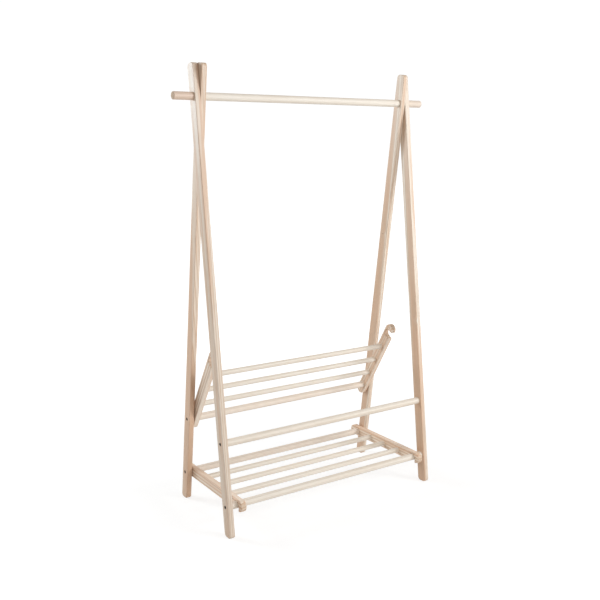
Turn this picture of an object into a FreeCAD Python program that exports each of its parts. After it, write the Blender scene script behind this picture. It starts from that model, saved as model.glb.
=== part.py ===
"""Clothes rack of crossed batten legs with a hanging rail and two slatted shelves that hook and tilt.

Millimetres, +Z up. The origin lies on the floor, in the middle of the four feet and under the rail.
The front of the rack faces -Y, and its left (-X) and right (+X) halves mirror each other.
"""
import FreeCAD, Part
import math
import os

# Frame
rack_height = 1500.0  # highest point of the leg tops
rail_drop = 100.0  # from the leg tops down to the rail's axis, where the legs cross
stance_depth = 360.0  # between the leg axes on the floor, front to back
frame_width = 866.0  # across the outer faces of the front legs
leg_gap = 0.5  # between a front leg and the back leg beside it

# Leg battens
leg_width = 38.0
leg_thickness = 19.0
leg_end_radius = 12.0
leg_edge_radius = 2.0

# Hanging rail
rail_diameter = 25.0
rail_length = 1000.0
rail_end_chamfer = 2.5
rail_glue_clearance = 0.1  # radial, in the front legs that hold it
rail_running_clearance = 0.3  # radial, in the back legs that turn on it

# Round bars between the legs
bar_diameter = 25.0
upper_bar_height = 310.0
lower_bar_height = 102.0
bar_end_chamfer = 0.8
bar_socket_depth = 6.0
bar_socket_clearance = 0.2  # radial

# Bolts through the legs
bolt_diameter = 6.0
bolt_length = 22.0  # under the head
bolt_head_diameter = 10.0
bolt_head_height = 5.5
bolt_head_recess = 0.8  # how far the head lies below the face of the leg
bolt_head_chamfer = 0.8
bolt_key_width = 5.0  # across the flats of the hexagon socket
bolt_key_depth = 3.0
bolt_key_sides = 6
bolt_head_clearance = 0.8  # radial, in the counterbore
bolt_hole_clearance = 0.4  # radial

# Threaded inserts in the bar ends
insert_diameter = 10.0
insert_length = 12.0
insert_clearance = 0.1  # radial, in the bar
thread_clearance = 0.1  # radial, around the bolt
bolt_tip_room = 1.5  # left in the bar past the bolt's tip

# Side rails of the shelves
side_depth = 38.0
side_thickness = 19.0
side_edge_radius = 2.0
side_leg_gap = 3.0  # between a shelf side and the back leg beside it
side_tail = 42.0  # past the rear bar's axis
pivot_clearance = 0.3  # radial, on the rear bar
hook_seat_clearance = 0.3  # above the front bar
hook_side_clearance = 1.0  # before and behind the front bar
hook_drop = 1.0  # how far the hook's nose hangs below the side rail
hook_tip_radius_share = 1.25  # of the radius of the eased edges
hook_tip_flat = 0.5  # between the rounding of the tip and that of the nose
slot_flare = 3.0  # how far the rear wall of the slot leans back at its mouth
slot_mouth_radius = 4.0

# Dowels of the shelves
dowel_diameter = 19.0
dowels_per_shelf = 3
dowel_end_chamfer = 0.8
dowel_hole_depth = 12.0
dowel_hole_clearance = 0.1  # radial

# Poses of the shelves, in degrees above level
upper_shelf_tilt = 59.4
lower_shelf_tilt = 0.0

# Modelling values
overrun = 1.0  # how far a cut runs past the face that it opens
shortest_edge = 1e-6

# Worked out from the values above
rail_height = rack_height - rail_drop
rail_radius = rail_diameter / 2
bar_radius = bar_diameter / 2
dowel_radius = dowel_diameter / 2
bolt_radius = bolt_diameter / 2
bolt_head_radius = bolt_head_diameter / 2
insert_radius = insert_diameter / 2
leg_lean = math.atan2(stance_depth / 2, rail_height)
front_leg_inner_face = frame_width / 2 - leg_thickness
back_leg_inner_face = front_leg_inner_face - leg_gap - leg_thickness
side_inner_face = back_leg_inner_face - side_leg_gap - side_thickness
bolt_seat_depth = bolt_head_recess + bolt_head_height
bolt_web = leg_thickness - bar_socket_depth - bolt_seat_depth
insert_bore_depth = bolt_length - bolt_web + bolt_tip_room
slot_radius = bar_radius + hook_side_clearance
nose_radius = (side_depth + hook_drop) / 2
hook_tip_radius = hook_tip_radius_share * side_edge_radius
nose_reach = slot_radius + hook_tip_radius + hook_tip_flat + nose_radius  # past the front bar's axis

along_x = FreeCAD.Vector(1, 0, 0)
shelf_axis = FreeCAD.Vector(-1, 0, 0)
origin = FreeCAD.Vector(0, 0, 0)


def bar_offset(height):
    """Distance of a leg's axis from the middle plane at a height, which is where its bar sits."""
    return stance_depth / 2 * (1 - height / rail_height)


def rounded_face(corners):
    """Flat face in the YZ plane through corners (y, z, radius), each rounded by its own radius."""
    edges = []
    first_start = None
    last_end = None
    for index, (y, z, radius) in enumerate(corners):
        point = FreeCAD.Vector(0, y, z)
        before = corners[index - 1]
        after = corners[(index + 1) % len(corners)]
        to_before = (FreeCAD.Vector(0, before[0], before[1]) - point).normalize()
        to_after = (FreeCAD.Vector(0, after[0], after[1]) - point).normalize()
        half_angle = to_before.getAngle(to_after) / 2
        tangent = radius / math.tan(half_angle)
        inward = (to_before + to_after).normalize()
        start = point + to_before * tangent
        middle = point + inward * (radius / math.sin(half_angle) - radius)
        end = point + to_after * tangent
        if last_end is None:
            first_start = start
        elif last_end.distanceToPoint(start) > shortest_edge:
            edges.append(Part.LineSegment(last_end, start).toShape())
        edges.append(Part.Arc(start, middle, end).toShape())
        last_end = end
    if last_end.distanceToPoint(first_start) > shortest_edge:
        edges.append(Part.LineSegment(last_end, first_start).toShape())
    return Part.Face(Part.Wire(Part.__sortEdges__(edges)))


def eased_board(corners, inner_face, thickness, edge_radius):
    """Board with a rounded outline, from its inner face outwards along +X, its long edges eased."""
    face = rounded_face(corners)
    face.translate(along_x * inner_face)
    board = face.extrude(along_x * thickness)
    outline = []
    for edge in board.Edges:
        flat = edge.BoundBox.XLength < shortest_edge
        if flat:
            outline.append(edge)
    return board.makeFillet(edge_radius, outline)


def drill(radius, start, depth, y, z):
    """Cylinder along +X that cuts a hole of a radius, from x = start over a depth."""
    return Part.makeCylinder(radius, depth, FreeCAD.Vector(start, y, z), along_x)


def round_bar(diameter, length, chamfer):
    """Round bar along X, centred on the origin, with both ends chamfered."""
    half = length / 2
    radius = diameter / 2
    corners = [
        (-half, 0),
        (-half, radius - chamfer),
        (-half + chamfer, radius),
        (half - chamfer, radius),
        (half, radius - chamfer),
        (half, 0),
    ]
    points = [FreeCAD.Vector(x, 0, r) for x, r in corners]
    profile = Part.Face(Part.makePolygon(points + points[:1]))
    return profile.revolve(origin, along_x, 360)


def leg_corners(lean_side):
    """Outline of a leg: square top, foot cut level with the floor. lean_side is -1 for a front foot."""
    up = FreeCAD.Vector(0, -lean_side * math.sin(leg_lean), math.cos(leg_lean))
    across = FreeCAD.Vector(0, up.z, -up.y)
    crossing = FreeCAD.Vector(0, 0, rail_height)
    half_width = leg_width / 2
    rise = rail_drop - leg_end_radius
    tilt_gain = (half_width - leg_end_radius) * math.sin(leg_lean)
    top_reach = leg_end_radius + (rise - tilt_gain) / math.cos(leg_lean)
    corners = []
    for side in (-1, 1):
        edge = crossing + across * (side * half_width)
        top = edge + up * top_reach
        foot = edge - up * (edge.z / up.z)
        pair = [(foot.y, foot.z, leg_end_radius), (top.y, top.z, leg_end_radius)]
        corners += pair if side < 0 else pair[::-1]
    return corners


def make_leg(lean_side, inner_face, rail_hole_clearance):
    """Right leg with its hole for the rail and, at each bar, a socket, a bolt hole and a counterbore."""
    outer_face = inner_face + leg_thickness
    leg = eased_board(leg_corners(lean_side), inner_face, leg_thickness, leg_edge_radius)
    through = leg_thickness + 2 * overrun
    cuts = [drill(rail_radius + rail_hole_clearance, inner_face - overrun, through, 0, rail_height)]
    for height in (upper_bar_height, lower_bar_height):
        y = lean_side * bar_offset(height)
        socket_radius = bar_radius + bar_socket_clearance
        bore_radius = bolt_head_radius + bolt_head_clearance
        cuts.append(drill(socket_radius, inner_face - overrun, bar_socket_depth + overrun, y, height))
        cuts.append(drill(bolt_radius + bolt_hole_clearance, inner_face - overrun, through, y, height))
        cuts.append(drill(bore_radius, outer_face - bolt_seat_depth, bolt_seat_depth + overrun, y, height))
    return leg.cut(cuts)


def make_bar(leg_inner_face):
    """Bar that reaches into the sockets of two legs, bored at both ends for the inserts."""
    half = leg_inner_face + bar_socket_depth
    bar = round_bar(bar_diameter, 2 * half, bar_end_chamfer)
    bore_radius = insert_radius + insert_clearance
    bore_length = insert_bore_depth + overrun
    right = drill(bore_radius, half - insert_bore_depth, bore_length, 0, 0)
    left = drill(bore_radius, -half - overrun, bore_length, 0, 0)
    return bar.cut([right, left])


def make_bolt(leg_inner_face):
    """Right bolt, its head seated in the leg's counterbore and its shank in the bar."""
    head_end = leg_inner_face + leg_thickness - bolt_head_recess
    seat = head_end - bolt_head_height
    head = drill(bolt_head_radius, seat, bolt_head_height, 0, 0)
    rim = [edge for edge in head.Edges if abs(edge.BoundBox.XMin - head_end) < shortest_edge]
    head = head.makeChamfer(bolt_head_chamfer, rim)
    shank = drill(bolt_radius, seat - bolt_length, bolt_length, 0, 0)
    key_corner = bolt_key_width / 2 / math.cos(math.pi / bolt_key_sides)
    corners = []
    for step in range(bolt_key_sides + 1):
        turn = 2 * math.pi * step / bolt_key_sides
        corners.append(FreeCAD.Vector(head_end, key_corner * math.cos(turn), key_corner * math.sin(turn)))
    key = Part.Face(Part.makePolygon(corners)).extrude(along_x * -bolt_key_depth)
    return head.fuse(shank).cut(key).removeSplitter()


def make_insert(leg_inner_face):
    """Right insert, flush with the end of the bar."""
    bar_end = leg_inner_face + bar_socket_depth
    sleeve = drill(insert_radius, bar_end - insert_length, insert_length, 0, 0)
    bore_length = insert_length + 2 * overrun
    bore = drill(bolt_radius + thread_clearance, bar_end - insert_length - overrun, bore_length, 0, 0)
    return sleeve.cut(bore)


def side_corners(span):
    """Outline of a shelf side lying level, the rear bar at (0, 0) and the front bar at y = -span."""
    half_depth = side_depth / 2
    nose_low = half_depth - 2 * nose_radius
    slot_top = bar_radius + hook_seat_clearance
    front = -span - nose_reach
    return [
        (side_tail, -half_depth, half_depth),
        (side_tail, half_depth, half_depth),
        (front, half_depth, nose_radius),
        (front, nose_low, nose_radius),
        (-span - slot_radius, nose_low, hook_tip_radius),
        (-span - slot_radius, slot_top, slot_radius),
        (-span + slot_radius, slot_top, slot_radius),
        (-span + slot_radius + slot_flare, -half_depth, slot_mouth_radius),
    ]


def dowel_places(span):
    """Places of the dowels, evenly spread between the rear bar and the front bar."""
    return [-span * (index + 1) / (dowels_per_shelf + 1) for index in range(dowels_per_shelf)]


def make_shelf_side(span):
    """Right side of a level shelf: a board with a pivot hole, a hook and blind holes for the dowels."""
    side = eased_board(side_corners(span), side_inner_face, side_thickness, side_edge_radius)
    through = side_thickness + 2 * overrun
    cuts = [drill(bar_radius + pivot_clearance, side_inner_face - overrun, through, 0, 0)]
    for y in dowel_places(span):
        hole_length = dowel_hole_depth + overrun
        cuts.append(drill(dowel_radius + dowel_hole_clearance, side_inner_face - overrun, hole_length, y, 0))
    return side.cut(cuts)


def mirrored(shape):
    """The left copy of a right piece."""
    return shape.mirror(origin, along_x)


def placed(shape, y, z):
    """Copy of a piece moved to its place."""
    copy = shape.copy()
    copy.translate(FreeCAD.Vector(0, y, z))
    return copy


def add_pair(pieces, name, right):
    """Enters a piece and its mirror copy under names that end in right and left."""
    pieces[name + "_right"] = right
    pieces[name + "_left"] = mirrored(right)


def add_shelf(pieces, name, height, tilt):
    """Enters the sides and dowels of one shelf, turned about its rear bar by its tilt."""
    y = bar_offset(height)
    span = 2 * y
    side = make_shelf_side(span)
    side.rotate(origin, shelf_axis, tilt)
    add_pair(pieces, name + "_side", placed(side, y, height))
    dowel_length = 2 * (side_inner_face + dowel_hole_depth)
    for index, place in enumerate(dowel_places(span)):
        dowel = placed(round_bar(dowel_diameter, dowel_length, dowel_end_chamfer), place, 0)
        dowel.rotate(origin, shelf_axis, tilt)
        pieces[name + "_dowel_" + str(index + 1)] = placed(dowel, y, height)


def add_bars(pieces, name, lean_side, leg_inner_face):
    """Enters the upper and lower bar of a pair of legs, with their inserts and bolts."""
    for level, height in (("upper", upper_bar_height), ("lower", lower_bar_height)):
        y = lean_side * bar_offset(height)
        pieces[name + "_bar_" + level] = placed(make_bar(leg_inner_face), y, height)
        add_pair(pieces, name + "_insert_" + level, placed(make_insert(leg_inner_face), y, height))
        add_pair(pieces, name + "_bolt_" + level, placed(make_bolt(leg_inner_face), y, height))


def build_rack():
    """All the pieces of the rack by name."""
    pieces = {}
    add_pair(pieces, "front_leg", make_leg(-1, front_leg_inner_face, rail_glue_clearance))
    add_pair(pieces, "back_leg", make_leg(1, back_leg_inner_face, rail_running_clearance))
    rail = round_bar(rail_diameter, rail_length, rail_end_chamfer)
    pieces["hanging_rail"] = placed(rail, 0, rail_height)
    add_bars(pieces, "front", -1, front_leg_inner_face)
    add_bars(pieces, "rear", 1, back_leg_inner_face)
    add_shelf(pieces, "upper_shelf", upper_bar_height, upper_shelf_tilt)
    add_shelf(pieces, "lower_shelf", lower_bar_height, lower_shelf_tilt)
    return pieces


os.makedirs("parts", exist_ok=True)
for node, shape in build_rack().items():
    shape.exportStep("parts/" + node + ".step")
    print(node, shape.isValid(), len(shape.Solids), round(shape.Volume / 1000, 1), "cm3")
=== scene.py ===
"""Looks of the clothes rack: pine battens, turned bars and dowels, and the bolts that hold them.

Metres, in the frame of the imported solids: +Z up, the floor at zero, the front of the rack towards -Y.
"""

import logging
import math
import random
from dataclasses import dataclass, replace
from enum import Enum
from itertools import product
from typing import Any, Dict, List, Sequence, Tuple, Union

import bmesh
import bpy
from mathutils import Matrix, Vector


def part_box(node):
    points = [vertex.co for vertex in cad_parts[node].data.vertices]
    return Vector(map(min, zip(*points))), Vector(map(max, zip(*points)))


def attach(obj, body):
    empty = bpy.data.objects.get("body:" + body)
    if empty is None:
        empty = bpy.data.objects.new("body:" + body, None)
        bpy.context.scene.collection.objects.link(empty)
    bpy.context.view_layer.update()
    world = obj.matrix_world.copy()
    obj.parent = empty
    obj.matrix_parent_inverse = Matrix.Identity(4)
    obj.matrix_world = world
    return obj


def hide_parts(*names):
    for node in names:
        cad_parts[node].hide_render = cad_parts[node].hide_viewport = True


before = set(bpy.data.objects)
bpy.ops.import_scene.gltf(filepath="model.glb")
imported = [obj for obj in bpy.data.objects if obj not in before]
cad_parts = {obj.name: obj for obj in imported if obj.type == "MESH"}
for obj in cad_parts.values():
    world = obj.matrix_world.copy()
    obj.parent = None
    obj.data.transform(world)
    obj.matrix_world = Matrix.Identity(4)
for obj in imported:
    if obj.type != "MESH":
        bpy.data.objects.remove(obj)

LOG = logging.getLogger("clothes_rack")
# Name of the mark on bore walls that the finish paints with the shade inside holes.
HOLE_MARK = "drilled"
FRAME_BODY = "frame"
SEED = 7
STEM_LENGTH = 4.0
SHARP_ANGLE = math.radians(38.0)
TINY = 1e-6
# Profile of a bevel that is part of a circle.
ROUND_PROFILE = 0.5

Colour = Tuple[float, float, float]
Rgba = Tuple[float, float, float, float]
Socket = bpy.types.NodeSocket
Key = Union[int, str]
Rims = Dict[float, List[bmesh.types.BMEdge]]

WHITE: Colour = (1.0, 1.0, 1.0)
X_AXIS = (1.0, 0.0, 0.0)
Z_AXIS = (0.0, 0.0, 1.0)


class Side(Enum):
    """Half of the rack that a piece stands in."""

    LEFT = "left"
    RIGHT = "right"

    @property
    def sign(self) -> int:
        """Sign of X on this side."""
        return 1 if self is Side.RIGHT else -1


class LegPair(Enum):
    """Pair of legs, by the words that its nodes carry for legs and for bars."""

    FRONT = ("front", "front")
    BACK = ("back", "rear")

    @property
    def leg(self) -> str:
        """Word in the names of the legs."""
        return self.value[0]

    @property
    def bar(self) -> str:
        """Word in the names of the bars, bolts and inserts."""
        return self.value[1]


class Level(Enum):
    """Height of a shelf and of the bars that carry it."""

    UPPER = "upper"
    LOWER = "lower"

    @property
    def shelf(self) -> str:
        """Body of the shelf, which is also the start of its nodes' names."""
        return f"{self.value}_shelf"


class ShaderBench:
    """Lays out and joins the nodes of one material, or of the room's light."""

    # Numbers of the sockets that a mix node has for colours.
    MIX_FACTOR = 0
    MIX_FIRST = 6
    MIX_SECOND = 7
    MIX_RESULT = 2

    def __init__(self, owner: Union[bpy.types.Material, bpy.types.World]) -> None:
        """Starts an empty node tree.

        Args:
            owner: Material or world that the nodes are for.
        """
        owner.use_nodes = True
        self.tree = owner.node_tree
        self.tree.nodes.clear()

    def node(self, kind: str, inputs: Dict[Key, Any], **settings: Any) -> bpy.types.Node:
        """Adds a node.

        Args:
            kind: Blender's name for the type of node.
            inputs: Values or sockets by the name or number of the input that they feed.
            **settings: Properties of the node.

        Returns:
            The node.
        """
        node = self.tree.nodes.new(kind)
        for name, value in settings.items():
            setattr(node, name, value)
        for key, value in inputs.items():
            if isinstance(value, bpy.types.NodeSocket):
                self.tree.links.new(value, node.inputs[key])
            else:
                node.inputs[key].default_value = value
        return node

    def math(self, operation: str, first: Any, second: Any = 0.0) -> Socket:
        """Result of a sum on two numbers."""
        return self.node("ShaderNodeMath", {0: first, 1: second}, operation=operation).outputs[0]

    def vector(self, operation: str, first: Any, second: Any) -> Socket:
        """Vector that a sum on two vectors gives."""
        node = self.node("ShaderNodeVectorMath", {0: first, 1: second}, operation=operation)
        return node.outputs["Vector"]

    def length(self, vector: Socket) -> Socket:
        """Length of a vector."""
        return self.node("ShaderNodeVectorMath", {0: vector}, operation="LENGTH").outputs["Value"]

    def along(self, vector: Socket, axis: Sequence[float]) -> Socket:
        """Part of a vector along an axis."""
        node = self.node("ShaderNodeVectorMath", {0: vector, 1: axis}, operation="DOT_PRODUCT")
        return node.outputs["Value"]

    def noise(self, place: Socket, cells: Sequence[float], detail: float) -> bpy.types.Node:
        """Soft noise with its own number of cells to the metre along each axis.

        Args:
            place: Coordinates in metres.
            cells: Cells to the metre along X, Y and Z.
            detail: Finer layers on top of the first.

        Returns:
            The noise node.
        """
        spread = self.vector("MULTIPLY", place, cells)
        return self.node("ShaderNodeTexNoise", {"Vector": spread, "Scale": 1.0, "Detail": detail})

    def grade(self, value: Socket, start: float, end: float, low: float, high: float) -> Socket:
        """Number that goes smoothly from low to high as a value goes from start to end."""
        inputs = {"Value": value, "From Min": start, "From Max": end, "To Min": low, "To Max": high}
        return self.node("ShaderNodeMapRange", inputs, interpolation_type="SMOOTHSTEP").outputs["Result"]

    def ramp(self, value: Socket, stops: Sequence[Tuple[float, float]]) -> Socket:
        """Number read from a ramp.

        Args:
            value: Place on the ramp, from 0 to 1.
            stops: Places and the values there.

        Returns:
            The value at that place.
        """
        node = self.node("ShaderNodeValToRGB", {"Fac": value})
        elements = node.color_ramp.elements
        while len(elements) < len(stops):
            elements.new(0.5)
        for element, (place, shade) in zip(elements, stops):
            element.position = place
            element.color = (shade, shade, shade, 1.0)
        return node.outputs["Color"]

    def mix(self, factor: Socket, first: Any, second: Any) -> Socket:
        """Colour that goes from the first to the second as the factor goes from 0 to 1."""
        inputs = {self.MIX_FACTOR: factor, self.MIX_FIRST: first, self.MIX_SECOND: second}
        return self.node("ShaderNodeMix", inputs, data_type="RGBA").outputs[self.MIX_RESULT]

    def bump(self, height: Socket, strength: float, distance: float) -> Socket:
        """Normal of a surface with a relief, whose height counts in units of the distance."""
        inputs = {"Height": height, "Strength": strength, "Distance": distance}
        return self.node("ShaderNodeBump", inputs).outputs["Normal"]

    def seen_directly(self) -> Socket:
        """1 for rays from the camera, and for those that gloss or glass sends on.

        Returns:
            The number.
        """
        path = self.node("ShaderNodeLightPath", {}).outputs
        straight = self.math("MAXIMUM", path["Is Camera Ray"], path["Is Glossy Ray"])
        return self.math("MAXIMUM", straight, path["Is Transmission Ray"])

    def surface(self, inputs: Dict[Key, Any]) -> None:
        """Closes a material with one physical surface, fed by values or sockets."""
        shader = self.node("ShaderNodeBsdfPrincipled", inputs)
        self.node("ShaderNodeOutputMaterial", {"Surface": shader.outputs[0]})


def opaque(colour: Colour) -> Rgba:
    """Colour with full cover, as a socket takes it."""
    return (*colour, 1.0)


@dataclass(frozen=True)
class PineCut:
    """Where a piece was sawn from the log, which decides the lines that its faces show.

    Attributes:
        axis: Direction of the fibres.
        centre: Middle of the piece.
        heart: Place of the middle of the piece, seen from the middle of the log, across the fibres.
        shift: How far along the log the middle of the piece lies.
        warmth: Share of reddish heartwood in the colour.
        light: How much lighter or darker than common the piece is.
        lean: How far the piece moves across the log, to the metre along it.
    """

    axis: Vector
    centre: Vector
    heart: Tuple[float, float]
    shift: float
    warmth: float
    light: float
    lean: Tuple[float, float] = (0.0, 0.0)


@dataclass(frozen=True)
class PineFinish:
    """Planed and sanded pine without oil or lacquer.

    Attributes:
        early: Colour of the wide pale part of a growth ring.
        late: Colour of the narrow dark part of a growth ring.
        heartwood: Colour of the reddish middle of the log, and of streaks along it.
        knot: Colour of a knot.
        drilled: Colour of the walls of bores: their slightly darker end grain, deepened into painted shade.
        cut_end: Colour of end grain.
        stain: Colour towards which the piece darkens near its ends.
        ring_width: Distance between growth rings.
        ring_share: How strongly the dark part of a ring shows.
        core_radius: Radius of the reddish middle of the log.
        core_share: How strongly the reddish middle shows.
        streak_share: How strongly streaks show.
        streak_span: Values of the noise between which a streak grows.
        cloud_share: How strongly patches along the fibres show.
        fibre_share: How strongly single fibres show.
        end_share: How much darker end grain is.
        stain_shares: How strongly the piece darkens towards the start of its axis and towards its end.
        stain_span: Distances from the middle of the piece between which it darkens.
        drift: How far the log wanders from straight.
        knot_cell: Room that each possible knot has, across and along the log.
        knot_odds: Share of those rooms that hold a knot.
        knot_radius: Radius of a knot.
        knot_swell: How far rings bend round a knot.
        relief: Height of the grain above the sanded face.
    """

    early: Colour = (0.865, 0.745, 0.63)
    late: Colour = (0.61, 0.435, 0.30)
    heartwood: Colour = (0.69, 0.455, 0.305)
    knot: Colour = (0.30, 0.165, 0.09)
    # Painted shade inside bores, far darker than their end grain.
    drilled: Colour = (0.20, 0.125, 0.075)
    cut_end: Colour = (0.58, 0.43, 0.30)
    stain: Colour = (0.72, 0.53, 0.41)
    ring_width: float = 0.0062
    ring_share: float = 0.85
    core_radius: float = 0.028
    core_share: float = 0.85
    streak_share: float = 0.75
    streak_span: Tuple[float, float] = (0.46, 0.66)
    cloud_share: float = 0.4
    fibre_share: float = 0.16
    end_share: float = 0.45
    stain_shares: Tuple[float, float] = (0.0, 0.0)
    stain_span: Tuple[float, float] = (1.0, 2.0)
    drift: float = 0.016
    knot_cell: Tuple[float, float, float] = (0.055, 0.055, 0.42)
    knot_odds: float = 0.30
    knot_radius: float = 0.0055
    knot_swell: float = 0.007
    relief: float = 0.0003

    # Cells of noise to the metre, twice across the log and then along it.
    DRIFT_CELLS = (1.7, 1.7, 0.8)
    STREAK_CELLS = (85.0, 85.0, 2.0)
    CLOUD_CELLS = (45.0, 45.0, 11.0)
    FIBRE_CELLS = (850.0, 850.0, 11.0)
    DRIFT_DETAIL = 1.0
    GRAIN_DETAIL = 2.0
    NOISE_MIDDLE = (0.5, 0.5, 0.5)
    ACROSS_LOG = Vector((1.0, 1.0, 0.0))
    # Values of the noise between which patches and fibres grow.
    CLOUD_SPAN = (0.42, 0.75)
    FIBRE_SPAN = (0.45, 0.75)
    # Shares of the reddish middle's radius between which its colour fades.
    CORE_EDGE = (0.92, 1.18)
    # Shares of a knot's radius where its colour begins to fade and where rings run straight again.
    KNOT_FADE = 0.6
    KNOT_BEND = 4.0
    KNOT_SHARE = 0.9
    # How squarely a face cuts the fibres where it begins to look sawn, and where it fully does.
    SAWN_SPAN = (0.55, 0.95)
    # Places in a growth ring and how dark the wood is there.
    RING_PROFILE = ((0.0, 0.1), (0.45, 0.18), (0.86, 1.0), (0.94, 0.85), (1.0, 0.1))
    ROUGHNESS = (0.50, 0.40)
    END_ROUGHNESS = 0.85
    SPECULAR = 0.5
    # Height of a ring's dark part against that of a fibre, and the share of both that shows.
    RING_HEIGHT = 0.5
    BUMP_STRENGTH = 0.3

    def material(self, name: str, cut: PineCut) -> bpy.types.Material:
        """Makes the finish of one piece.

        Args:
            name: Name of the material.
            cut: Where the piece lay in its log.

        Returns:
            The material.
        """
        material = bpy.data.materials.new(name)
        bench = ShaderBench(material)
        place = bench.node("ShaderNodeTexCoord", {})
        log, climb = self._log_place(bench, place.outputs["Object"], cut)
        distance, held = self._knots(bench, log)
        bend = bench.grade(distance, 0.0, self.KNOT_BEND * self.knot_radius, self.knot_swell, 0.0)
        radius = bench.math("ADD", self._radius(bench, log), bench.math("MULTIPLY", bend, held))
        ring = bench.math("FRACT", bench.math("DIVIDE", radius, self.ring_width))
        latewood = bench.ramp(ring, self.RING_PROFILE)
        fibre = bench.noise(log, self.FIBRE_CELLS, self.GRAIN_DETAIL).outputs["Fac"]
        wood = self._clear_wood(bench, cut, log, radius, latewood)
        strand = bench.grade(fibre, *self.FIBRE_SPAN, 0.0, self.fibre_share)
        wood = bench.mix(strand, wood, self._toned(self.late, cut))
        # Darkens the piece towards its ends, from the start of the span on.
        for end, share in zip((-1.0, 1.0), self.stain_shares):
            stain = bench.grade(bench.math("MULTIPLY", climb, end), *self.stain_span, 0.0, share)
            wood = bench.mix(stain, wood, opaque(self.stain))
        solid = self.KNOT_FADE * self.knot_radius
        fade = bench.grade(distance, solid, self.knot_radius, self.KNOT_SHARE, 0.0)
        wood = bench.mix(bench.math("MULTIPLY", fade, held), wood, opaque(self.knot))
        facing = bench.math("ABSOLUTE", bench.along(place.outputs["Normal"], cut.axis))
        sawn = bench.grade(facing, *self.SAWN_SPAN, 0.0, 1.0)
        wood = bench.mix(bench.math("MULTIPLY", sawn, self.end_share), wood, opaque(self.cut_end))
        # Painted shade: the marked walls of bores take a dark colour for the shade inside holes, over their
        # slightly darker end grain.
        hole = bench.node("ShaderNodeAttribute", {}, attribute_name=HOLE_MARK).outputs["Fac"]
        planed = bench.grade(latewood, 0.0, 1.0, *self.ROUGHNESS)
        height = bench.math("ADD", bench.math("MULTIPLY", latewood, self.RING_HEIGHT), fibre)
        bench.surface({
            "Base Color": bench.mix(hole, wood, opaque(self.drilled)),
            "Roughness": bench.math("MAXIMUM", planed, bench.math("MULTIPLY", sawn, self.END_ROUGHNESS)),
            "Specular IOR Level": self.SPECULAR,
            "Normal": bench.bump(height, self.BUMP_STRENGTH, self.relief),
        })
        return material

    def _clear_wood(self, bench: ShaderBench, cut: PineCut, log: Socket, radius: Socket,
                    latewood: Socket) -> Socket:
        """Lays the rings, the reddish middle of the log, streaks and patches over each other.

        Args:
            bench: Nodes of the material.
            cut: Where the piece lay in its log.
            log: Coordinates in the log.
            radius: Distance from the middle of the log.
            latewood: How much of the dark part of a ring there is.

        Returns:
            Colour of the wood between its knots.
        """
        early, late, heartwood = (self._toned(colour, cut)
                                  for colour in (self.early, self.late, self.heartwood))
        streak, cloud = (bench.noise(log, cells, self.GRAIN_DETAIL).outputs["Fac"]
                         for cells in (self.STREAK_CELLS, self.CLOUD_CELLS))
        inside, outside = (share * self.core_radius for share in self.CORE_EDGE)
        wood = bench.mix(bench.math("MULTIPLY", latewood, self.ring_share), early, late)
        wood = bench.mix(bench.grade(radius, inside, outside, self.core_share, 0.0), wood, heartwood)
        wood = bench.mix(bench.grade(streak, *self.streak_span, 0.0, self.streak_share), wood, heartwood)
        return bench.mix(bench.grade(cloud, *self.CLOUD_SPAN, 0.0, self.cloud_share), wood, late)

    def _toned(self, colour: Colour, cut: PineCut) -> Rgba:
        """Colour in the tone of the piece's own log."""
        warm = (a + (b - a) * cut.warmth for a, b in zip(colour, self.heartwood))
        return opaque(tuple(min(1.0, channel * cut.light) for channel in warm))

    def _log_place(self, bench: ShaderBench, place: Socket, cut: PineCut) -> Tuple[Socket, Socket]:
        """Turns places on the piece into places in its log.

        Args:
            bench: Nodes of the material.
            place: Coordinates on the piece.
            cut: Where the piece lay in its log.

        Returns:
            Coordinates in the log, Z along the fibres, and the distance along them from the piece's middle.
        """
        turn = cut.axis.rotation_difference(Vector(Z_AXIS)).to_euler()
        start = Vector((*cut.heart, cut.shift)) - turn.to_matrix() @ cut.centre
        inputs = {"Vector": place, "Location": start, "Rotation": turn}
        straight = bench.node("ShaderNodeMapping", inputs, vector_type="POINT").outputs["Vector"]
        climb = bench.math("SUBTRACT", bench.along(straight, Z_AXIS), cut.shift)
        leaning = bench.node("ShaderNodeVectorMath", {0: climb, 1: (*cut.lean, 0.0), 2: straight},
                             operation="MULTIPLY_ADD")
        return leaning.outputs["Vector"], climb

    def _knots(self, bench: ShaderBench, log: Socket) -> Tuple[Socket, Socket]:
        """Finds the nearest place that a knot can have.

        Args:
            bench: Nodes of the material.
            log: Coordinates in the log.

        Returns:
            Distance from that place, and 1 where it holds a knot.
        """
        cell = bench.vector("DIVIDE", log, self.knot_cell)
        spots = bench.node("ShaderNodeTexVoronoi", {"Vector": cell, "Scale": 1.0})
        offset = bench.vector("SUBTRACT", cell, spots.outputs["Position"])
        distance = bench.length(bench.vector("MULTIPLY", offset, self.knot_cell))
        # The first channel of a cell's colour is its own random number.
        chance = bench.along(spots.outputs["Color"], X_AXIS)
        return distance, bench.math("LESS_THAN", chance, self.knot_odds)

    def _radius(self, bench: ShaderBench, log: Socket) -> Socket:
        """Measures from the wandering middle of the log.

        Args:
            bench: Nodes of the material.
            log: Coordinates in the log.

        Returns:
            The distance.
        """
        wander = bench.noise(log, self.DRIFT_CELLS, self.DRIFT_DETAIL).outputs["Color"]
        offset = bench.vector("SUBTRACT", wander, self.NOISE_MIDDLE)
        bent = bench.vector("ADD", log, bench.vector("MULTIPLY", offset, self.ACROSS_LOG * self.drift))
        return bench.length(bench.vector("MULTIPLY", bent, self.ACROSS_LOG))


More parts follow.
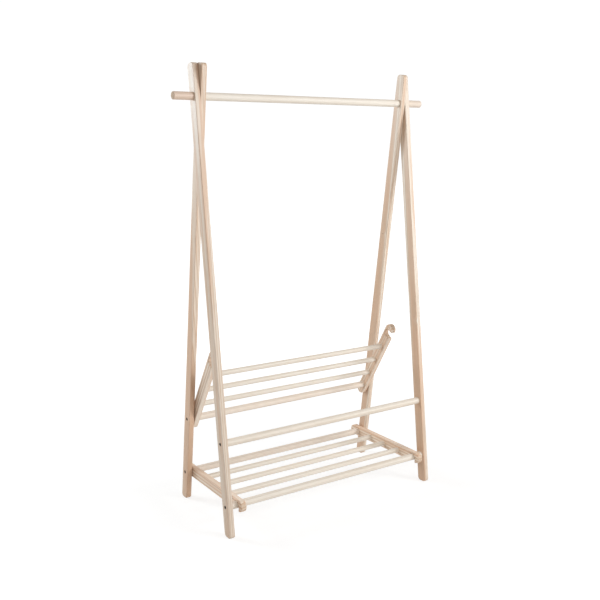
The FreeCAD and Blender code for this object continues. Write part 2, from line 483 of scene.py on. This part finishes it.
@dataclass(frozen=True)
class MetalFinish:
    """Metal of a fastener, with the faint mottling that its treatment leaves.

    Attributes:
        name: Name of the material.
        deep: Colour of the hollows.
        bright: Colour of the rubbed places.
        roughness: Roughness of the hollows and of the rubbed places.
        metallic: How much the surface is bare metal.
    """

    name: str
    deep: Colour
    bright: Colour
    roughness: Tuple[float, float]
    metallic: float

    MOTTLE_CELLS = (900.0, 900.0, 900.0)
    MOTTLE_DETAIL = 3.0
    # Values of the noise between which the rubbed colour and the rubbed gloss grow.
    RUBBED_SPAN = (0.4, 0.7)
    GLOSS_SPAN = (0.3, 0.7)
    RELIEF = 0.00004
    BUMP_STRENGTH = 0.2

    def material(self) -> bpy.types.Material:
        """Makes the finish.

        Returns:
            The material.
        """
        material = bpy.data.materials.new(self.name)
        bench = ShaderBench(material)
        place = bench.node("ShaderNodeTexCoord", {}).outputs["Object"]
        mottle = bench.noise(place, self.MOTTLE_CELLS, self.MOTTLE_DETAIL).outputs["Fac"]
        rubbed = bench.grade(mottle, *self.RUBBED_SPAN, 0.0, 1.0)
        bench.surface({
            "Base Color": bench.mix(rubbed, opaque(self.deep), opaque(self.bright)),
            "Metallic": self.metallic,
            "Roughness": bench.grade(mottle, *self.GLOSS_SPAN, *self.roughness),
            "Normal": bench.bump(mottle, self.BUMP_STRENGTH, self.RELIEF),
        })
        return material


PINE = PineFinish()
STRIPED_PINE = PineFinish(early=(0.875, 0.77, 0.665), late=(0.55, 0.37, 0.235), ring_width=0.011,
                          ring_share=0.95, core_share=0.35, drift=0.004)
PALE_PINE = PineFinish(early=(0.88, 0.82, 0.735), late=(0.71, 0.595, 0.48), heartwood=(0.77, 0.66, 0.54),
                       core_share=0.3, ring_share=0.45, streak_share=0.6, streak_span=(0.42, 0.78),
                       cloud_share=0.2, end_share=0.85, knot_odds=0.08)
WARM_PINE = replace(PALE_PINE, early=(0.898, 0.798, 0.705), late=(0.724, 0.579, 0.46))
BLACK_OXIDE = MetalFinish("black_oxide", (0.014, 0.012, 0.011), (0.035, 0.031, 0.029), (0.62, 0.48), 0.6)
TURNED_BRASS = MetalFinish("turned_brass", (0.55, 0.38, 0.16), (0.74, 0.56, 0.28), (0.42, 0.28), 1.0)


@dataclass(frozen=True)
class Corner:
    """Corner of an outline in the plane of Y and Z, rounded by a radius."""

    y: float
    z: float
    radius: float


@dataclass(frozen=True)
class Bore:
    """Stepped round hole along X.

    Attributes:
        y: Y of its axis.
        z: Z of its axis.
        steps: X and radius of each ring in order, the first at the mouth.
        open_end: Whether the last ring opens in the other face.
    """

    y: float
    z: float
    steps: Tuple[Tuple[float, float], ...]
    open_end: bool = True


def middle(node: str) -> Vector:
    """Middle of the box round a node."""
    low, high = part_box(node)
    return (low + high) / 2


def radius_of(node: str) -> float:
    """Radius of a round node that lies along X."""
    low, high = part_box(node)
    return (high.z - low.z) / 2


def faces_of(node: str) -> Tuple[float, float]:
    """X of a board's face towards the middle of the rack, and of its other face."""
    low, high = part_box(node)
    return tuple(sorted((low.x, high.x), key=abs))


def add_object(name: str, data: bpy.types.ID) -> bpy.types.Object:
    """Adds an object to the scene.

    Args:
        name: Its name.
        data: Mesh, lamp or camera that it shows.

    Returns:
        The object.
    """
    item = bpy.data.objects.new(name, data)
    bpy.context.scene.collection.objects.link(item)
    return item


def round_off(mesh: bmesh.types.BMesh, geom: Sequence[Any], reach: float, steps: int,
              affect: str = "EDGES") -> None:
    """Rounds edges, or corners of an outline.

    Args:
        mesh: Mesh that they belong to.
        geom: The edges or corners.
        reach: How far from them the rounding starts.
        steps: Number of flats in the rounding.
        affect: Blender's word for edges or for corners.
    """
    bmesh.ops.bevel(mesh, geom=geom, offset=reach, offset_type="OFFSET", affect=affect, segments=steps,
                    profile=ROUND_PROFILE, material=-1, clamp_overlap=False)


def make_piece(mesh: bmesh.types.BMesh, name: str, node: str, body: str, material: bpy.types.Material) -> None:
    """Turns a finished mesh into a piece that stands for a node.

    Args:
        mesh: The mesh, in its place. It is freed.
        name: Name of the piece.
        node: Node that it stands for.
        body: Body that it rides on.
        material: Its finish.
    """
    bmesh.ops.remove_doubles(mesh, verts=mesh.verts, dist=TINY)
    bmesh.ops.recalc_face_normals(mesh, faces=mesh.faces)
    for face in mesh.faces:
        face.smooth = True
    data = bpy.data.meshes.new(name)
    mesh.to_mesh(data)
    mesh.free()
    data.set_sharp_from_angle(angle=SHARP_ANGLE)
    data.materials.append(material)
    piece = add_object(name, data)
    weighting = piece.modifiers.new("flat_faces_stay_flat", "WEIGHTED_NORMAL")
    weighting.keep_sharp = True
    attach(piece, body)
    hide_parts(node)
    LOG.info("%s stands for %s, %d faces", name, node, len(data.polygons))


@dataclass
class Batten:
    """Flat board with a rounded outline, eased edges and stepped bores.

    Attributes:
        outline: Corners of its outline in order.
        inner_x: X of the face towards the middle of the rack.
        outer_x: X of the other face.
        edge_radius: Radius of its eased edges.
        bores: Its holes, each from the inner face on.
    """

    outline: Sequence[Corner]
    inner_x: float
    outer_x: float
    edge_radius: float
    bores: Sequence[Bore] = ()

    ARC_STEPS = 10
    EASE_STEPS = 3
    RING_STEPS = 40

    def mesh(self) -> bmesh.types.BMesh:
        """Builds the board.

        Returns:
            The closed mesh.
        """
        mesh = bmesh.new()
        mesh.faces.layers.float.new(HOLE_MARK)
        self._cut_outline(mesh)
        self._thicken(mesh)
        mouths = self._open_faces(mesh)
        for bore in self.bores:
            self._drill(mesh, bore, mouths)
        for x, edges in mouths.items():
            side = 1.0 if x == max(mouths) else -1.0
            bmesh.ops.triangle_fill(mesh, edges=edges, use_beauty=True, normal=(side, 0.0, 0.0))
        return mesh

    def _cut_outline(self, mesh: bmesh.types.BMesh) -> None:
        """Lays the outline on the inner face and rounds its corners.

        Args:
            mesh: The empty mesh.
        """
        points = [Vector((self.inner_x, corner.y, corner.z)) for corner in self.outline]
        verts = [mesh.verts.new(point) for point in points]
        mesh.faces.new(verts)
        for index, corner in enumerate(self.outline):
            before = points[index - 1] - points[index]
            after = points[(index + 1) % len(points)] - points[index]
            reach = corner.radius / math.tan(before.angle(after) / 2)
            round_off(mesh, [verts[index]], reach, self.ARC_STEPS, "VERTICES")
        bmesh.ops.remove_doubles(mesh, verts=mesh.verts, dist=TINY)

    def _thicken(self, mesh: bmesh.types.BMesh) -> None:
        """Gives the outline its thickness and eases the edges of both faces.

        Args:
            mesh: The outline.
        """
        grown = bmesh.ops.extrude_face_region(mesh, geom=mesh.faces[:], use_keep_orig=True)
        fresh = [item for item in grown["geom"] if isinstance(item, bmesh.types.BMVert)]
        bmesh.ops.translate(mesh, vec=(self.outer_x - self.inner_x, 0.0, 0.0), verts=fresh)
        bmesh.ops.recalc_face_normals(mesh, faces=mesh.faces)
        rims = [edge for edge in mesh.edges if abs(edge.verts[0].co.x - edge.verts[1].co.x) < TINY]
        round_off(mesh, rims, self.edge_radius, self.EASE_STEPS)

    def _open_faces(self, mesh: bmesh.types.BMesh) -> Rims:
        """Takes out the two flat faces.

        Args:
            mesh: The board.

        Returns:
            The rim that is left at each face, by the X of the face.
        """
        rims: Rims = {}
        flats = []
        for x in (self.inner_x, self.outer_x):
            flat = next(f for f in mesh.faces if all(abs(v.co.x - x) < TINY for v in f.verts))
            rims[x] = list(flat.edges)
            flats.append(flat)
        bmesh.ops.delete(mesh, geom=flats, context="FACES_ONLY")
        return rims

    def _drill(self, mesh: bmesh.types.BMesh, bore: Bore, mouths: Rims) -> None:
        """Builds the walls of a bore and adds its mouths to the rims of the faces.

        Args:
            mesh: The board.
            bore: The hole.
            mouths: Rims by the X of the face.
        """
        rings = []
        for x, radius in bore.steps:
            place = Matrix.Translation((x, bore.y, bore.z)) @ Matrix.Rotation(math.pi / 2, 4, "Y")
            made = bmesh.ops.create_circle(mesh, segments=self.RING_STEPS, radius=radius, matrix=place)
            rings.append(list(dict.fromkeys(edge for vert in made["verts"] for edge in vert.link_edges)))
        walls = []
        for near, far in zip(rings, rings[1:]):
            walls += bmesh.ops.bridge_loops(mesh, edges=near + far)["faces"]
        mouths[bore.steps[0][0]].extend(rings[0])
        if bore.open_end:
            mouths[bore.steps[-1][0]].extend(rings[-1])
        else:
            walls += bmesh.ops.edgeloop_fill(mesh, edges=rings[-1])["faces"]
        # The walls are marked for the painted shade inside holes.
        mark = mesh.faces.layers.float[HOLE_MARK]
        for wall in walls:
            wall[mark] = 1.0


@dataclass(frozen=True)
class PineRod:
    """Kind of round pine stock along X with softened ends, bored where inserts sit in them.

    Attributes:
        pine: Its finish.
        slot: Word for the kind of wood; not used.
        end_round: How far its ends are rounded.
        warmest: Greatest share of reddish heartwood in its colour.
        bore_radius: Radius of the hole in each end, or zero.
        bore_depth: Depth of the hole in each end.
    """

    pine: PineFinish
    slot: str
    end_round: float
    warmest: float = 0.15
    bore_radius: float = 0.0
    bore_depth: float = 0.0

    SPIN_STEPS = 48
    ROUND_STEPS = 3
    # Where rods lie in their logs, across and away from the middle, and how light they are.
    HEART_ACROSS = (-0.05, 0.05)
    HEART_AWAY = (0.03, 0.08)
    LIGHTS = (0.98, 1.02)

    def build(self, node: str, body: str, chance: random.Random) -> None:
        """Builds and dresses one rod.

        Args:
            node: Node that it stands for.
            body: Body that it rides on.
            chance: Source of the logs' differences.
        """
        low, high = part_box(node)
        mesh = self._turn(high.x - low.x, radius_of(node))
        bmesh.ops.translate(mesh, vec=middle(node), verts=mesh.verts)
        heart = (chance.uniform(*self.HEART_ACROSS), chance.uniform(*self.HEART_AWAY))
        cut = PineCut(Vector(X_AXIS), middle(node), heart, chance.uniform(0.0, STEM_LENGTH),
                      chance.uniform(0.0, self.warmest), chance.uniform(*self.LIGHTS))
        material = self.pine.material(f"pine_of_{node}", cut)
        make_piece(mesh, f"{node}_rod", node, body, material)

    def _turn(self, length: float, radius: float) -> bmesh.types.BMesh:
        """Turns a rod round the origin.

        Args:
            length: Its whole length.
            radius: Its radius.

        Returns:
            The closed mesh.
        """
        mesh = bmesh.new()
        half = length / 2
        ends = [(half, radius)]
        if self.bore_radius > 0:
            ends += [(half, self.bore_radius), (half - self.bore_depth, self.bore_radius)]
        ends.append((ends[-1][0], 0.0))
        profile = [(-x, r) for x, r in reversed(ends)] + ends
        verts = [mesh.verts.new((x, 0.0, r)) for x, r in profile]
        edges = [mesh.edges.new(pair) for pair in zip(verts, verts[1:])]
        bmesh.ops.spin(mesh, geom=verts + edges, cent=(0.0, 0.0, 0.0), axis=X_AXIS, dvec=(0.0, 0.0, 0.0),
                       angle=2 * math.pi, steps=self.SPIN_STEPS, use_merge=True)
        bmesh.ops.remove_doubles(mesh, verts=mesh.verts, dist=TINY)
        bmesh.ops.recalc_face_normals(mesh, faces=mesh.faces)
        centres = [Vector((x, 0.0, 0.0)) for x in (-half, half)]
        rims = [edge for edge in mesh.edges for centre in centres
                if all(abs((vert.co - centre).length - radius) < TINY for vert in edge.verts)]
        round_off(mesh, rims, self.end_round, self.ROUND_STEPS)
        return mesh


@dataclass
class CrossedLegs:
    """The four leaning legs, which cross in pairs at the hanging rail.

    Attributes:
        width: Width of a batten, front to back.
        end_radius: Rounding of its top and foot, seen from the side.
        edge_radius: Radius of its eased edges.
        socket_gap: Room round a bar in its socket.
        socket_depth: Depth of a socket.
        bolt_hole_radius: Radius of the hole for a bolt's shank.
        head_hole_radius: Radius of the counterbore for a bolt's head.
        head_hole_depth: Depth of the counterbore.
    """

    width: float = 0.038
    end_radius: float = 0.012
    edge_radius: float = 0.002
    socket_gap: float = 0.0002
    socket_depth: float = 0.006
    bolt_hole_radius: float = 0.0034
    head_hole_radius: float = 0.0058
    head_hole_depth: float = 0.0063

    # Room round the rail in the legs of each pair.
    RAIL_GAPS = {LegPair.FRONT: 0.0001, LegPair.BACK: 0.0003}
    # Heart, lean, warmth and light of each leg, as its cut has them. Partly the leg's own grain, partly
    # painted shade: the hearts bring reddish heartwood onto the shaded faces where the tops of the legs cross,
    # as painted warm shade.
    CUTS = {
        (LegPair.FRONT, Side.LEFT): ((0.026, 0.043), (-0.014, 0.009), -0.1, 0.95),
        (LegPair.FRONT, Side.RIGHT): ((0.034, 0.005), (0.009, 0.003), -0.36, 1.0),
        (LegPair.BACK, Side.LEFT): ((0.020, -0.018), (0.047, -0.038), 0.0, 0.99),
        (LegPair.BACK, Side.RIGHT): ((0.024, -0.014), (0.022, 0.003), -0.22, 1.0),
    }

    def build(self, chance: random.Random) -> None:
        """Builds and dresses the legs, whose logs differ by chance."""
        for pair, side in product(LegPair, Side):
            self._build_leg(pair, side, chance)

    def _build_leg(self, pair: LegPair, side: Side, chance: random.Random) -> None:
        """Builds and dresses one leg.

        Args:
            pair: Pair that it belongs to.
            side: Half of the rack that it stands in.
            chance: Source of the logs' differences.
        """
        node = f"{pair.leg}_leg_{side.value}"
        inner_x, outer_x = faces_of(node)
        rail = middle("hanging_rail")
        bars = [middle(f"{pair.bar}_bar_{level.value}") for level in Level]
        up = (Vector((0.0, rail.y, rail.z)) - Vector((0.0, bars[-1].y, bars[-1].z))).normalized()
        outline = self._outline(up, rail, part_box(node)[1].z)
        hole = radius_of("hanging_rail") + self.RAIL_GAPS[pair]
        bores = [Bore(rail.y, rail.z, ((inner_x, hole), (outer_x, hole)))]
        bores += [self._bar_bore(bar, inner_x, outer_x, side) for bar in bars]
        batten = Batten(outline, inner_x, outer_x, self.edge_radius, bores)
        heart, lean, warmth, light = self.CUTS[pair, side]
        cut = PineCut(up, middle(node), heart, chance.uniform(0.0, STEM_LENGTH), warmth, light, lean)
        material = PINE.material(f"pine_of_{node}", cut)
        make_piece(batten.mesh(), f"{node}_batten", node, FRAME_BODY, material)

    def _outline(self, up: Vector, rail: Vector, top_z: float) -> List[Corner]:
        """Outline with a square top and a foot cut level with the floor.

        Args:
            up: Direction of the leg.
            rail: Middle of the rail, on the leg's axis.
            top_z: Height of the top.

        Returns:
            The corners in order.
        """
        across = Vector((0.0, up.z, -up.y))
        half = self.width / 2
        crossing = Vector((0.0, rail.y, rail.z))
        gain = (half - self.end_radius) * abs(up.y)
        reach = self.end_radius + (top_z - rail.z - self.end_radius - gain) / up.z
        corners: List[Corner] = []
        for turn in (-1, 1):
            edge = crossing + across * (turn * half)
            top, foot = edge + up * reach, edge - up * (edge.z / up.z)
            ends = [Corner(point.y, point.z, self.end_radius) for point in (foot, top)]
            corners += ends if turn < 0 else ends[::-1]
        return corners

    def _bar_bore(self, bar: Vector, inner_x: float, outer_x: float, side: Side) -> Bore:
        """Socket for a bar, hole for its bolt and counterbore for the bolt's head.

        Args:
            bar: Middle of the bar.
            inner_x: X of the leg's inner face.
            outer_x: X of its outer face.
            side: Half of the rack that the leg stands in.

        Returns:
            All three as one stepped hole.
        """
        socket = radius_of("front_bar_upper") + self.socket_gap
        floor_x = inner_x + side.sign * self.socket_depth
        seat_x = outer_x - side.sign * self.head_hole_depth
        return Bore(bar.y, bar.z, (
            (inner_x, socket), (floor_x, socket),
            (floor_x, self.bolt_hole_radius), (seat_x, self.bolt_hole_radius),
            (seat_x, self.head_hole_radius), (outer_x, self.head_hole_radius)))


@dataclass
class RailAndBars:
    """The hanging rail and the four bars between the legs.

    Attributes:
        rail_end_round: Rounding of the rail's ends.
        bar_end_round: Rounding of the bars' ends.
        insert_hole_radius: Radius of the hole for an insert.
        insert_hole_depth: Depth of the hole for an insert.
        stub_stains: How strongly the rail's left and right stubs darken outside the legs.
        stub_fade: How far the darkening takes to grow.
    """

    rail_end_round: float = 0.0025
    bar_end_round: float = 0.0008
    insert_hole_radius: float = 0.0051
    insert_hole_depth: float = 0.0168
    stub_stains: Tuple[float, float] = (0.8, 0.4)
    stub_fade: float = 0.03

    def build(self, chance: random.Random) -> None:
        """Builds and dresses the rail and the bars.

        Args:
            chance: Source of the logs' differences.
        """
        leg_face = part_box("front_leg_right")[1].x
        stain_span = (leg_face - self.stub_fade, leg_face)
        rail_pine = replace(PALE_PINE, stain_shares=self.stub_stains, stain_span=stain_span)
        rail = PineRod(rail_pine, "rail_wood", self.rail_end_round)
        rail.build("hanging_rail", FRAME_BODY, chance)
        for pair in LegPair:
            pine = WARM_PINE if pair is LegPair.BACK else PALE_PINE
            bar = PineRod(pine, "bar_wood", self.bar_end_round, bore_radius=self.insert_hole_radius,
                          bore_depth=self.insert_hole_depth)
            for level in Level:
                bar.build(f"{pair.bar}_bar_{level.value}", FRAME_BODY, chance)


@dataclass
class HookedShelf:
    """Shelf of dowels between two sides, which turn on the rear bar and hook over the front bar.

    Attributes:
        level: Which of the two shelves it is.
        log_side: Whether the sides lay above the middle of their logs, 1, or below, -1; chosen partly as
            painted light and shade, with pale wood on the edges that light falls on and reddish heartwood on
            the shaded faces.
        side_lights: Least and greatest lightness of the sides.
        depth: Depth of a side rail.
        edge_radius: Radius of its eased edges.
        tail: How far a side runs past the rear bar's axis.
        pivot_gap: Room round the rear bar.
        seat_gap: Room above the front bar.
        slot_gap: Room before and behind the front bar.
        slot_flare: How far the slot's rear wall leans back at its mouth.
        mouth_radius: Rounding of the slot's rear edge.
        hook_drop: How far the nose hangs below the rail.
        tip_radius: Rounding of the hook's tip.
        tip_flat: Flat between the tip and the rounding of the nose.
        dowel_gap: Room round a dowel in its hole.
        dowel_hole_depth: Depth of the dowels' holes.
        dowel_end_round: Rounding of the dowels' ends.
        dowel_warmest: Greatest share of reddish heartwood in a dowel's colour.
        dowels: Number of dowels.
    """

    level: Level
    log_side: int
    side_lights: Tuple[float, float]
    depth: float = 0.038
    edge_radius: float = 0.002
    tail: float = 0.042
    pivot_gap: float = 0.0003
    seat_gap: float = 0.0003
    slot_gap: float = 0.001
    slot_flare: float = 0.003
    mouth_radius: float = 0.004
    hook_drop: float = 0.001
    tip_radius: float = 0.0025
    tip_flat: float = 0.0005
    dowel_gap: float = 0.0001
    dowel_hole_depth: float = 0.012
    dowel_end_round: float = 0.0008
    dowel_warmest: float = 0.12
    dowels: int = 3

    # How far sides lie from the middle of their logs, sideways and up or down, and how reddish they are. The
    # narrow spans keep reddish heartwood on the shaded faces and pale wood on the lit edges, as painted shade
    # and light.
    HEART_ASIDE = (0.0, 0.006)
    HEART_AWAY = (0.037, 0.040)
    SIDE_WARMTHS = (-0.05, 0.10)

    def build(self, chance: random.Random) -> None:
        """Builds and dresses the sides and the dowels.

        Args:
            chance: Source of the logs' differences.
        """
        for side in Side:
            self._build_side(side, chance)
        dowel = PineRod(PALE_PINE, "dowel_wood", self.dowel_end_round, self.dowel_warmest)
        for node in self.dowel_nodes:
            dowel.build(node, self.level.shelf, chance)

    @property
    def dowel_nodes(self) -> List[str]:
        """Nodes of the dowels, from the rear one on."""
        return [f"{self.level.shelf}_dowel_{number}" for number in range(1, self.dowels + 1)]

    @property
    def pivot(self) -> Vector:
        """Place of the rear bar's axis."""
        return middle(f"rear_bar_{self.level.value}")

    @property
    def forward(self) -> Vector:
        """Direction of the side rails, from the rear bar to the hook."""
        return (middle(self.dowel_nodes[-1]) - middle(self.dowel_nodes[0])).normalized()

    @property
    def span(self) -> float:
        """Distance between the axes of the two bars that carry the shelf."""
        return (middle(f"front_bar_{self.level.value}") - self.pivot).length

    @property
    def bar_radius(self) -> float:
        """Radius of the bars that carry the shelf."""
        return radius_of(f"rear_bar_{self.level.value}")

    def _outline(self) -> List[Corner]:
        """Outline of a side rail, in its place.

        Returns:
            The corners in order.
        """
        half = self.depth / 2
        slot = self.bar_radius + self.slot_gap
        seat = self.bar_radius + self.seat_gap
        nose = (self.depth + self.hook_drop) / 2
        front = self.span + slot + self.tip_radius + self.tip_flat + nose
        low = half - 2 * nose
        slot_front, slot_rear = self.span + slot, self.span - slot
        places = [
            (-self.tail, -half, half), (-self.tail, half, half),
            (front, half, nose), (front, low, nose), (slot_front, low, self.tip_radius),
            (slot_front, seat, slot), (slot_rear, seat, slot),
            (slot_rear - self.slot_flare, -half, self.mouth_radius)]
        forward, pivot = self.forward, self.pivot
        rise = Vector((0.0, forward.z, -forward.y))
        points = [(pivot + forward * along + rise * up, radius) for along, up, radius in places]
        return [Corner(point.y, point.z, radius) for point, radius in points]

    def _build_side(self, side: Side, chance: random.Random) -> None:
        """Builds and dresses one side rail.

        Args:
            side: Half of the rack that it stands in.
            chance: Source of the logs' differences.
        """
        node = f"{self.level.shelf}_side_{side.value}"
        inner_x, outer_x = faces_of(node)
        hole = self.bar_radius + self.pivot_gap
        bores = [Bore(self.pivot.y, self.pivot.z, ((inner_x, hole), (outer_x, hole)))]
        floor_x = inner_x + side.sign * self.dowel_hole_depth
        for dowel in self.dowel_nodes:
            centre, radius = middle(dowel), radius_of(dowel) + self.dowel_gap
            bores.append(Bore(centre.y, centre.z, ((inner_x, radius), (floor_x, radius)), open_end=False))
        batten = Batten(self._outline(), inner_x, outer_x, self.edge_radius, bores)
        aside = chance.uniform(*self.HEART_ASIDE) * chance.choice((-1, 1))
        heart = (aside, self.log_side * chance.uniform(*self.HEART_AWAY))
        cut = PineCut(self.forward, middle(node), heart, chance.uniform(0.0, STEM_LENGTH),
                      chance.uniform(*self.SIDE_WARMTHS), chance.uniform(*self.side_lights))
        material = STRIPED_PINE.material(f"pine_of_{node}", cut)
        make_piece(batten.mesh(), f"{node}_batten", node, self.level.shelf, material)


def dress_fasteners(nodes: Dict[str, bpy.types.Object]) -> None:
    """Gives the bolts through the legs, and the inserts that they screw into, their finish.

    Args:
        nodes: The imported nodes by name.
    """
    for word, finish in (("bolt", BLACK_OXIDE), ("insert", TURNED_BRASS)):
        material = finish.material()
        for pair, level, side in product(LegPair, Level, Side):
            node = f"{pair.bar}_{word}_{level.value}_{side.value}"
            for slot in nodes[node].material_slots:
                slot.material = material
            LOG.info("%s dressed in %s", node, finish.name)


@dataclass(frozen=True)
class SoftBox:
    """Large soft lamp.

    Attributes:
        name: Its name.
        place: Where it hangs.
        aim: Where it points.
        size: Its width.
        power: Its power in watts.
        colour: Colour of its light.
    """

    name: str
    place: Tuple[float, float, float]
    aim: Tuple[float, float, float]
    size: float
    power: float
    colour: Colour = WHITE

    def hang(self) -> None:
        """Adds the lamp to the scene."""
        data = bpy.data.lights.new(self.name, "AREA")
        data.shape = "SQUARE"
        data.size = self.size
        data.energy = self.power
        data.color = self.colour
        lamp = add_object(self.name, data)
        lamp.visible_camera = False
        lamp.location = self.place
        lamp.rotation_euler = (Vector(self.aim) - Vector(self.place)).to_track_quat("-Z", "Y").to_euler()


@dataclass
class Studio:
    """White room, its lamps and the camera.

    Attributes:
        lamps: The soft lamps.
        sky_strength: Light that comes evenly from all sides.
        sky_colour: Colour of that light.
        room_white: How bright the room looks to the camera.
        floor_size: Width of the floor.
        floor_colour: Colour of the floor.
        floor_roughness: Roughness of the floor.
        floor_share: How much of the light on the floor, and so of the rack's shadow, the camera sees.
        floor_glow: How white the floor under the rack looks to the camera before lamps light it.
        floor_fade: Distances from the rack between which the floor turns as white as the room.
        camera_place: Where the camera stands.
        camera_turn: Turn of the camera to the right of straight ahead, in degrees.
        camera_dip: How far it looks down, in degrees.
        camera_roll: How far it leans, in degrees.
        focal_px: Focal length in pixels of the picture.
        middle_px: Where the camera's axis meets the picture.
        picture_px: Width and height of the picture.
        sensor_width: Width of the sensor in millimetres.
    """

    lamps: Tuple[SoftBox, ...] = (
        SoftBox("front_lamp", (2.85, -3.9, 2.2), (0.0, 0.0, 0.7), 1.7, 122.0, (0.93, 0.97, 1.0)),
        SoftBox("near_lamp", (0.3, -2.0, 1.7), (0.0, 0.0, 0.7), 0.8, 10.5, (0.93, 0.97, 1.0)),
        SoftBox("rear_left_lamp", (-2.25, 2.75, 2.05), (0.0, 0.0, 0.9), 1.5, 55.0, (0.95, 0.98, 1.0)),
        SoftBox("top_left_lamp", (-1.4, 1.7, 1.75), (-0.1, 0.0, 1.4), 0.8, 9.6, (0.60, 0.84, 1.0)),
    )
    sky_strength: float = 0.37
    sky_colour: Colour = (1.0, 0.92, 0.84)
    room_white: float = 1.03
    floor_size: float = 40.0
    floor_colour: Colour = (0.86, 0.86, 0.86)
    floor_roughness: float = 0.9
    floor_share: float = 0.4
    floor_glow: float = 0.75
    floor_fade: Tuple[float, float] = (0.5, 2.2)
    camera_place: Tuple[float, float, float] = (-1.5795, -2.2817, 1.2439)
    camera_turn: float = 32.594
    camera_dip: float = 12.308
    camera_roll: float = -0.091
    focal_px: float = 796.16
    middle_px: Tuple[float, float] = (278.17, 321.53)
    picture_px: float = 600.0
    sensor_width: float = 36.0

    def build(self) -> None:
        """Sets up the room, the lamps and the camera."""
        bpy.context.scene.view_settings.view_transform = "Standard"
        self._lay_floor()
        self._light_sky()
        for lamp in self.lamps:
            lamp.hang()
        self._place_camera()
        LOG.info("studio with %d lamps", len(self.lamps))

    def _lay_floor(self) -> None:
        """Adds the white floor, which keeps the rack's soft shadow."""
        mesh = bmesh.new()
        bmesh.ops.create_grid(mesh, x_segments=1, y_segments=1, size=self.floor_size / 2)
        data = bpy.data.meshes.new("floor")
        mesh.to_mesh(data)
        mesh.free()
        material = bpy.data.materials.new("white_floor")
        bench = ShaderBench(material)
        seen = bench.seen_directly()
        away = bench.length(bench.node("ShaderNodeTexCoord", {}).outputs["Object"])
        glow = bench.grade(away, *self.floor_fade, self.floor_glow, 1.0)
        dimmed = tuple(channel * self.floor_share for channel in self.floor_colour)
        bench.surface({
            "Base Color": bench.mix(seen, opaque(self.floor_colour), opaque(dimmed)),
            "Roughness": self.floor_roughness,
            "Specular IOR Level": 0.0,
            "Emission Color": opaque(WHITE),
            "Emission Strength": bench.math("MULTIPLY", seen, glow),
        })
        data.materials.append(material)
        add_object("floor", data)

    def _light_sky(self) -> None:
        """Fills the room with even light, white to the camera."""
        world = bpy.data.worlds.new("white_room")
        bench = ShaderBench(world)
        seen = bench.seen_directly()
        background = bench.node("ShaderNodeBackground", {
            "Color": bench.mix(seen, opaque(self.sky_colour), opaque(WHITE)),
            "Strength": bench.grade(seen, 0.0, 1.0, self.sky_strength, self.room_white),
        })
        bench.node("ShaderNodeOutputWorld", {"Surface": background.outputs[0]})
        bpy.context.scene.world = world

    def _place_camera(self) -> None:
        """Stands the camera where the photograph was taken."""
        data = bpy.data.cameras.new("camera")
        data.sensor_width = self.sensor_width
        data.lens = self.focal_px / self.picture_px * self.sensor_width
        data.shift_x = 0.5 - self.middle_px[0] / self.picture_px
        data.shift_y = self.middle_px[1] / self.picture_px - 0.5
        camera = add_object("camera", data)
        turn = Matrix.Rotation(math.radians(-self.camera_turn), 3, "Z")
        dip = Matrix.Rotation(math.radians(90.0 - self.camera_dip), 3, "X")
        roll = Matrix.Rotation(math.radians(self.camera_roll), 3, "Z")
        camera.location = self.camera_place
        camera.rotation_euler = (turn @ dip @ roll).to_euler()
        bpy.context.scene.camera = camera


def main() -> None:
    """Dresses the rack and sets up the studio."""
    logging.basicConfig(level=logging.INFO, format="%(name)s: %(message)s")
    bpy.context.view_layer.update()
    chance = random.Random(SEED)
    CrossedLegs().build(chance)
    RailAndBars().build(chance)
    # The log sides paint light and shade: pale wood on lit edges, reddish heartwood on shaded faces.
    HookedShelf(Level.UPPER, log_side=-1, side_lights=(1.03, 1.07)).build(chance)
    HookedShelf(Level.LOWER, log_side=1, side_lights=(1.11, 1.15)).build(chance)
    dress_fasteners(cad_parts)
    Studio().build()


if __name__ == "__main__":
    main()
